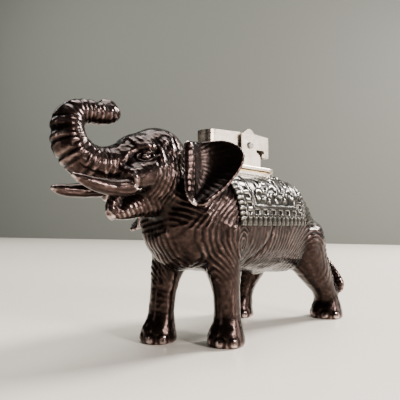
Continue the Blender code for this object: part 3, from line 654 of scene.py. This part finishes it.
def open_well(obj, inner):
    """Opens the seat over the well and adds the casting's inner wall."""
    work = bmesh.new()
    work.from_mesh(obj.data)
    gone = []
    for face in work.faces:
        place = from_world(face.calc_center_median())
        if place[2] > SEAT_Z - 1.0 and in_oval(place[None], TANK_OVAL)[0] > 0:
            gone.append(face)
    bmesh.ops.delete(work, geom=gone, context="FACES")
    for vert in work.verts:
        if vert.is_boundary:
            place = from_world(vert.co)
            vert.co = onto_oval(place, TANK_OVAL, SEAT_Z)
    work.from_mesh(inner)
    work.to_mesh(obj.data)
    work.free()


def halves(obj, names):
    """Two pieces from one mesh, parted across the figure under the blanket."""
    pieces = []
    limit = (SPLIT_Y + SHIFT[1]) * MM
    for name, front in zip(names, (True, False)):
        mesh = obj.data.copy()
        work = bmesh.new()
        work.from_mesh(mesh)
        gone = [f for f in work.faces if (f.calc_center_median().y < limit) != front]
        bmesh.ops.delete(work, geom=gone, context="FACES")
        work.to_mesh(mesh)
        work.free()
        pieces.append(link(name, mesh))
    bpy.data.objects.remove(obj)
    return pieces


casting, SKIN_TREE = make_casting()
for half in halves(casting, ("cast_front", "cast_rear")):
    finished(half, "figure", BRONZE, "antique_bronze", "elephant_body")


# ------------------------------------------------------------------ ears and tusks

EAR_ROOT = (12.5, -28.0, 66.0)


def make_ear(side, word):
    source = NODES[f"{word}_ear"]
    obj = voxels(link(f"{word}_ear_cast", source.data.copy()), EAR_VOXEL)
    skin = Skin(obj.data)
    skin.smooth(10)
    normals = skin.normals()
    x, y, z = unrolled(skin.points).T
    noise_a = lattice_noise(skin.points, 7.0, 31)
    # radiating folds from the ear's root, and a raised band down its front
    away = mirrored(x, y, z) - np.array(EAR_ROOT)
    flat_away = np.hypot(away[:, 0], away[:, 1])
    angle = np.arctan2(away[:, 2], flat_away)
    span = np.hypot(flat_away, away[:, 2])
    folds = ridges(angle * 6.5 + 0.5 * noise_a, 0.8) * smoothstep(4, 9, span)
    outer_face = smoothstep(0.1, 0.4, normals[:, 0] * side)
    band = (1 - smoothstep(2.6, 3.6, np.abs(y + 27.5) + 0.12 * np.abs(z - 64))) * outer_face
    height = 0.10 * folds + band * (0.35 + 0.12 * ridges(z / 2.2 + 0.3 * noise_a, 0.8))
    height += 0.05 * lattice_noise(skin.points, 1.2, 33)
    skin.raise_by(normals, height)
    skin.write()
    # painted shade: the wear value is lowered over the ear's outer face, apart from the raised band, so the
    # hollow reads dark as if in shade
    skin.mark_wear_and_painted_shade(6, 0.2, 0.1 * outer_face * (1 - band))
    finished(obj, "figure", BRONZE, "antique_bronze", f"{word}_ear")


def make_tusk(word):
    source = NODES[f"{word}_tusk"]
    obj = voxels(link(f"{word}_tusk_cast", source.data.copy()), TUSK_VOXEL)
    skin = Skin(obj.data)
    skin.smooth(8)
    normals = skin.normals()
    height = 0.06 * lattice_noise(skin.points * np.array((1, 0.25, 1)), 0.8, 41)
    height += 0.08 * lattice_noise(skin.points, 2.5, 42)
    skin.raise_by(normals, height)
    skin.write()
    skin.mark_wear_and_painted_shade(5, 0.08)
    finished(obj, "figure", BRONZE, "antique_bronze", f"{word}_tusk")


for side, word in ((1, "left"), (-1, "right")):
    make_ear(side, word)
    make_tusk(word)


# ------------------------------------------------------------------ the blanket

FRINGE, SIDE_FRINGE = 3.5, 3.0  # the tassels' length along the bottom and the two sides
SIDE_SCALE, SIDE_PITCH = 1.5, 1.6  # along the sides the border is this much wider, its pattern this much closer
TASSEL, SQUARE = 3.1, 5.1  # spacing along the bottom edge
FLOWERS = ((10.2, 12.0), (21.6, 12.6))  # along the figure and up from the bottom edge
# scrolls: the same two, then size, starting angle and hand
SCROLLS = ((4.6, 11.2, 2.9, 0.4, 1), (15.6, 13.4, 2.9, 2.6, -1), (16.6, 10.0, 2.4, 0.3, 1),
           (27.4, 12.2, 2.9, 2.6, -1), (5.8, 16.6, 2.6, 1.2, -1), (17.3, 18.4, 2.8, -1.2, 1),
           (11.0, 18.0, 2.4, 1.8, 1), (26.0, 17.6, 2.7, 1.4, -1))
BACK_AXIS_Z = 45.0  # the sheet is wrapped round a line along the figure at this height
OUTSIDE = 40  # from that line, clear of the casting
AROUND, ALONG = 236, 140  # faces round the back and along it
STANDOFF = 1.05  # the sheet's face above the smooth skin
SHEET = 1.5  # thickness
SEAT_ABOVE = 55  # nothing below this height belongs to the seat's opening


def scroll(px, py, cx, cy, size, turn, hand):
    """Distance to a spiral leaf that curls in towards (cx, cy)."""
    line = []
    for i in range(22):
        t = i / 21
        angle = turn + hand * (0.3 + 4.2 * t)
        radius = size * (1 - 0.78 * t)
        line.append((cx + radius * math.cos(angle), cy + radius * math.sin(angle), 0.0))
    _, distance = along_line(np.stack((px, py, np.zeros(len(px))), 1), line)
    return distance


def blanket_relief(d_bottom, d_front, d_rear, y):
    """Height of the cast pattern: fringe, cord, a band of sunk squares, two lines, flowers and scrolls."""
    side_edge = (np.minimum(d_front, d_rear) - SIDE_FRINGE) / SIDE_SCALE
    inward = np.minimum(d_bottom - FRINGE, side_edge)
    along = np.where(d_bottom - FRINGE < side_edge, y, d_bottom * SIDE_PITCH)
    tassels = 0.75 * ridges(along / TASSEL, 0.6) * (1 - 0.35 * bump(inward + 3.0, 0.8)) - 0.2
    cord_at = bump(inward - 0.25, 0.40) * (0.50 + 0.12 * np.sin(2 * np.pi * along / 1.3))
    band = window(inward, 0.7, 3.0, 0.12)
    across = (along / SQUARE) % 1 - 0.5
    square = (1 - smoothstep(0.22, 0.27, np.abs(across))) * window(inward, 1.0, 2.65, 0.15)
    pip = bump(np.hypot(across * SQUARE, inward - 1.85), 0.7)
    lines = bump(inward - 3.45, 0.28) + bump(inward - 4.3, 0.28)
    field = smoothstep(4.6, 5.0, inward)
    height = np.where(inward < 0, tassels, 0.0)
    height = height + cord_at + band * (0.42 - 0.75 * square) + band * 0.3 * pip + 0.42 * lines
    flowers = np.zeros(len(y))
    for cy, cz in FLOWERS:
        dy, dz = y - cy, d_bottom - cz
        r, a = np.hypot(dy, dz), np.arctan2(dz, dy)
        petals = (0.5 + 0.5 * np.cos(5 * a)) ** 0.6
        flowers = np.maximum(flowers, petals * bump(r - 2.4, 1.3))
        flowers = np.maximum(flowers, 1.15 * bump(r, 0.9))
    for cy, cz, size, turn, hand in SCROLLS:
        flowers = np.maximum(flowers, 0.95 * bump(scroll(y, d_bottom, cy, cz, size, turn, hand), 0.62))
    dots = bump(np.hypot(((y / 1.8) % 1 - 0.5) * 1.8, ((d_bottom / 1.8) % 1 - 0.5) * 1.8), 0.5)
    flowers = np.maximum(flowers, 0.55 * dots * smoothstep(22.5, 24, d_bottom))
    return height + field * 0.75 * flowers


def wrapped_sheet(angles, fronts, rears):
    """A grid of places on the casting's smooth skin, from one lower edge over the back to the other."""
    grid = np.zeros((AROUND + 1, ALONG + 1, 3))
    for i, angle in enumerate(angles):
        for j in range(ALONG + 1):
            y = fronts[i] + (rears[i] - fronts[i]) * j / ALONG
            axis = Vector((0, y, BACK_AXIS_Z))
            start = Vector((OUTSIDE * math.sin(angle), y, BACK_AXIS_Z + OUTSIDE * math.cos(angle)))
            hit = SKIN_TREE.ray_cast(start, (axis - start).normalized())[0]
            grid[i, j] = hit if hit is not None else axis + (start - axis) * 0.5
    return grid


def make_blanket():
    angles = np.radians(np.linspace(-90, 90, AROUND + 1))
    fronts = -6.5 - 5.5 * np.cos(angles) ** 2
    rears = 38.6 + 3.0 * np.cos(angles) ** 2
    grid = wrapped_sheet(angles, fronts, rears)
    # even out the sheet
    for _ in range(5):
        inner = grid[1:-1, 1:-1]
        inner += 0.5 * ((grid[:-2, 1:-1] + grid[2:, 1:-1] + grid[1:-1, :-2] + grid[1:-1, 2:]) / 4 - inner)
    steps = np.linalg.norm(np.diff(grid, axis=0), axis=2)
    run = np.vstack((np.zeros((1, ALONG + 1)), np.cumsum(steps, axis=0)))
    d_bottom = np.minimum(run, run[-1] - run)
    y = grid[:, :, 1]
    d_front = y - fronts[:, None]
    d_rear = rears[:, None] - y
    du = np.gradient(grid, axis=0)
    dv = np.gradient(grid, axis=1)
    normal = np.cross(du, dv)
    normal /= np.linalg.norm(normal, axis=2, keepdims=True)
    from_axis = grid - np.stack((0 * y, y, 0 * y + BACK_AXIS_Z), 2)
    normal *= np.sign((normal * from_axis).sum(2))[:, :, None]
    relief = blanket_relief(*(a.ravel() for a in (d_bottom, d_front, d_rear, y))).reshape(y.shape)
    edge = np.minimum(np.minimum(d_bottom, d_front), d_rear)
    lift = STANDOFF + relief - 0.35 * (1 - smoothstep(0.0, 0.5, edge))
    top = grid + normal * lift[:, :, None]

    work = bmesh.new()
    rows = [[work.verts.new(Vector(to_world(q))) for q in line] for line in top]
    for one, two in zip(rows, rows[1:]):
        for j in range(ALONG):
            work.faces.new((one[j], two[j], two[j + 1], one[j + 1]))
    gone = []
    for face in work.faces:
        place = from_world(face.calc_center_median())
        if place[2] > SEAT_ABOVE and in_oval(place[None], SEAT_OVAL)[0] > 0:
            gone.append(face)
    bmesh.ops.delete(work, geom=gone, context="FACES")
    for vert in work.verts:
        if vert.is_boundary:
            place = from_world(vert.co)
            if place[2] > SEAT_ABOVE and abs(in_oval(place[None], SEAT_OVAL)[0]) < 1.2:
                vert.co = onto_oval(place, SEAT_OVAL, place[2])
    bmesh.ops.recalc_face_normals(work, faces=work.faces)
    mesh = bpy.data.meshes.new("blanket")
    work.to_mesh(mesh)
    work.free()
    obj = link("blanket_cast", mesh)
    if mesh.polygons[0].normal.dot(Vector((0, 0, 1))) < -0.5:
        mesh.flip_normals()
    Skin(mesh).mark_wear_and_painted_shade(6, 0.2)
    thick = obj.modifiers.new("thickness", "SOLIDIFY")
    thick.thickness = SHEET * MM
    thick.offset = -1
    finished(applied(obj), "figure", PEWTER, "blanket_bronze", "saddle_blanket")


make_blanket()


# ------------------------------------------------------------------ the lighter keeps its CAD shapes

LOOKS = {
    "well_collar": CHROME, "base_plate": CHROME, "bracket": CHROME, "lift_arm": CHROME, "snuffer_cup": CHROME,
    "fuel_tank": BRASS, "wick_tube": BRASS, "flint_tube": BRASS, "flint_screw": BRASS, "filler_screw": BRASS,
    "flint_wheel": STEEL, "ratchet_wheel": STEEL, "pawl": STEEL, "pawl_pin": STEEL, "pivot_screw": STEEL,
    "pivot_nut": STEEL, "flint_spring": STEEL, "arm_spring": STEEL, "flint": FLINT_GREY,
    "cotton_wadding": COTTON, "felt_pad": COTTON, "wick": COTTON, "filler_washer": RUBBER,
}
BEVELS = {"lift_arm": 0.28, "pivot_screw": 0.08, "pivot_nut": 0.12, "pawl": 0.06, "fuel_tank": 0.2,
          "snuffer_cup": 0.1}

for name, look in LOOKS.items():
    node = NODES[name]
    for place in node.material_slots:
        place.material = look
    if name in BEVELS:
        soften = node.modifiers.new("soften", "BEVEL")
        soften.width = BEVELS[name] * MM
        soften.segments = 3
        soften.limit_method = "ANGLE"
        soften.angle_limit = math.radians(40)


# ------------------------------------------------------------------ floor, wall, light and camera

def plain(name, colour, roughness, specular=0.3):
    made, _, _, shader = new_material(name)
    shader.inputs["Base Color"].default_value = (*colour, 1)
    shader.inputs["Roughness"].default_value = roughness
    shader.inputs["Specular IOR Level"].default_value = specular
    return made


CAMERA_YAW = math.radians(46.0)
RIGHT = Vector((math.cos(CAMERA_YAW), math.sin(CAMERA_YAW), 0))
AHEAD = Vector((-math.sin(CAMERA_YAW), math.cos(CAMERA_YAW), 0))
EYE = Vector((0.1195, -0.12307, 0.045))
CAMERA_PITCH = math.atan(26 / 400)  # the horizon lies 26 of the picture's 400 pixels below its middle
LENS = SENSOR = 36


def at(lateral, depth, height=0.0):
    """A world place from camera-aligned floor distances, in metres."""
    return Vector((EYE.x, EYE.y, 0)) + RIGHT * lateral + AHEAD * depth + Vector((0, 0, height))


def flat_face(name, corners, look):
    """One four-sided face of the stage."""
    mesh = bpy.data.meshes.new(name)
    mesh.from_pydata([tuple(c) for c in corners], [], [tuple(range(len(corners)))])
    obj = link(name, mesh)
    mesh.materials.append(look)


def make_stage():
    floor = plain("floor_white", (0.93, 0.865, 0.765), 0.25, 0.4)
    wall = plain("wall_grey", (0.152, 0.158, 0.143), 0.8)
    # the wall's foot crosses the view at an angle
    foot_a, foot_b = at(-0.782, 1.565), at(0.473, 0.947)
    run = (foot_b - foot_a).normalized()
    near = Vector((-run.y, run.x, 0))
    if near.dot(AHEAD) > 0:
        near = -near
    a, b = foot_a - run * 4, foot_b + run * 4
    flat_face("floor", [a, b, b + near * 5, a + near * 5], floor)
    flat_face("wall", [a, b, b + Vector((0, 0, 4)), a + Vector((0, 0, 4))], wall)


def area_light(name, place, target, size, power, colour):
    data = bpy.data.lights.new(name, "AREA")
    data.shape = "RECTANGLE"
    data.size, data.size_y = size
    data.energy = power
    data.color = colour
    obj = bpy.data.objects.new(name, data)
    bpy.context.scene.collection.objects.link(obj)
    obj.location = place
    obj.rotation_euler = (Vector(target) - Vector(place)).to_track_quat("-Z", "Y").to_euler()


def make_lights():
    centre = Vector((0, 0, 0.05))
    # name, place from the centre as (right, ahead, up), size, power, colour
    for name, (right, ahead, up), size, power, colour in (
        ("key", (0.72, 0.34, 0.62), (0.24, 0.24), 24.0, (1.0, 0.95, 0.91)),
        ("window", (0.95, -0.05, 0.14), (0.36, 0.30), 2.6, (1.0, 0.94, 0.90)),
        ("camera_side", (0.75, -0.55, 0.3), (0.2, 0.3), 11.0, (1.0, 0.93, 0.90)),
        ("low_fill", (-0.8, -0.5, 0.12), (0.25, 0.35), 0.5, (1.0, 0.93, 0.86)),
        ("top", (0, 0.25, 1.3), (0.9, 0.7), 17.0, (1.0, 0.98, 0.95)),
    ):
        place = centre + RIGHT * right + AHEAD * ahead + Vector((0, 0, up))
        area_light(name, place, centre, size, power, colour)
    area_light("wall_wash", at(-0.9, 0.7, 0.9), at(-0.7, 1.5, 0.25), (0.8, 0.6), 9.0, (1.0, 1.0, 0.97))
    world = bpy.data.worlds.new("studio")
    world.use_nodes = True
    background = world.node_tree.nodes["Background"]
    background.inputs["Color"].default_value = (0.80, 0.82, 0.80, 1)
    background.inputs["Strength"].default_value = 0.05
    bpy.context.scene.world = world


def make_camera():
    data = bpy.data.cameras.new("camera")
    data.sensor_width = SENSOR
    data.lens = LENS
    data.clip_start = 0.001
    data.clip_end = 100
    obj = bpy.data.objects.new("camera", data)
    bpy.context.scene.collection.objects.link(obj)
    forward = AHEAD * math.cos(CAMERA_PITCH) + Vector((0, 0, math.sin(CAMERA_PITCH)))
    up = RIGHT.cross(forward)
    turn = Matrix((RIGHT, up, -forward)).transposed().to_4x4()
    turn.translation = EYE
    obj.matrix_world = turn
    bpy.context.scene.camera = obj


make_stage()
make_lights()
make_camera()
